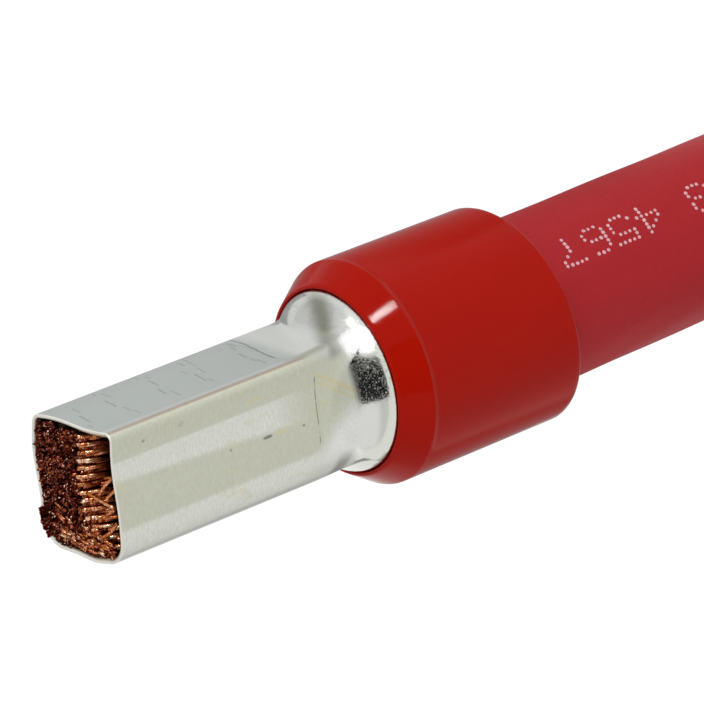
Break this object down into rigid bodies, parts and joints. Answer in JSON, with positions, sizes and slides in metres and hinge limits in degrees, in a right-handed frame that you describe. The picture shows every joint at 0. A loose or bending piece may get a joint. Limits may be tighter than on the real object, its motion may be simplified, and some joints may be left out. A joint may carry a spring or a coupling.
{
  "type": "wire ferrule",
  "caption": "Insulated wire ferrule, square-crimped on the bared end of a short stub of fine-stranded battery cable.",
  "frame": {"origin": "on the axis of the ferrule, in the plane of the cable's cut end", "axes": "+Z along the ferrule's axis towards the tip of the crimped pin; +X is square to the crimped face that bears the die's marks"},
  "size_m": [0.0192, 0.0192, 0.0742],
  "materials": {
    "sleeve": "gloss",
    "tube": "satin",
    "jacket": "matte",
    "conductor": "satin"
  },
  "bodies": {
    "root": {"insulating_sleeve": "sleeve", "ferrule_tube": "tube", "cable_jacket": "jacket", "core_member": "conductor", "inner_member_01": "conductor", "inner_member_02": "conductor", "inner_member_03": "conductor", "inner_member_04": "conductor", "inner_member_05": "conductor", "inner_member_06": "conductor", "outer_member_01": "conductor", "outer_member_02": "conductor", "outer_member_03": "conductor", "outer_member_04": "conductor", "outer_member_05": "conductor", "outer_member_06": "conductor", "outer_member_07": "conductor", "outer_member_08": "conductor", "outer_member_09": "conductor", "outer_member_10": "conductor", "outer_member_11": "conductor", "outer_member_12": "conductor"}
  },
  "joints": []
}
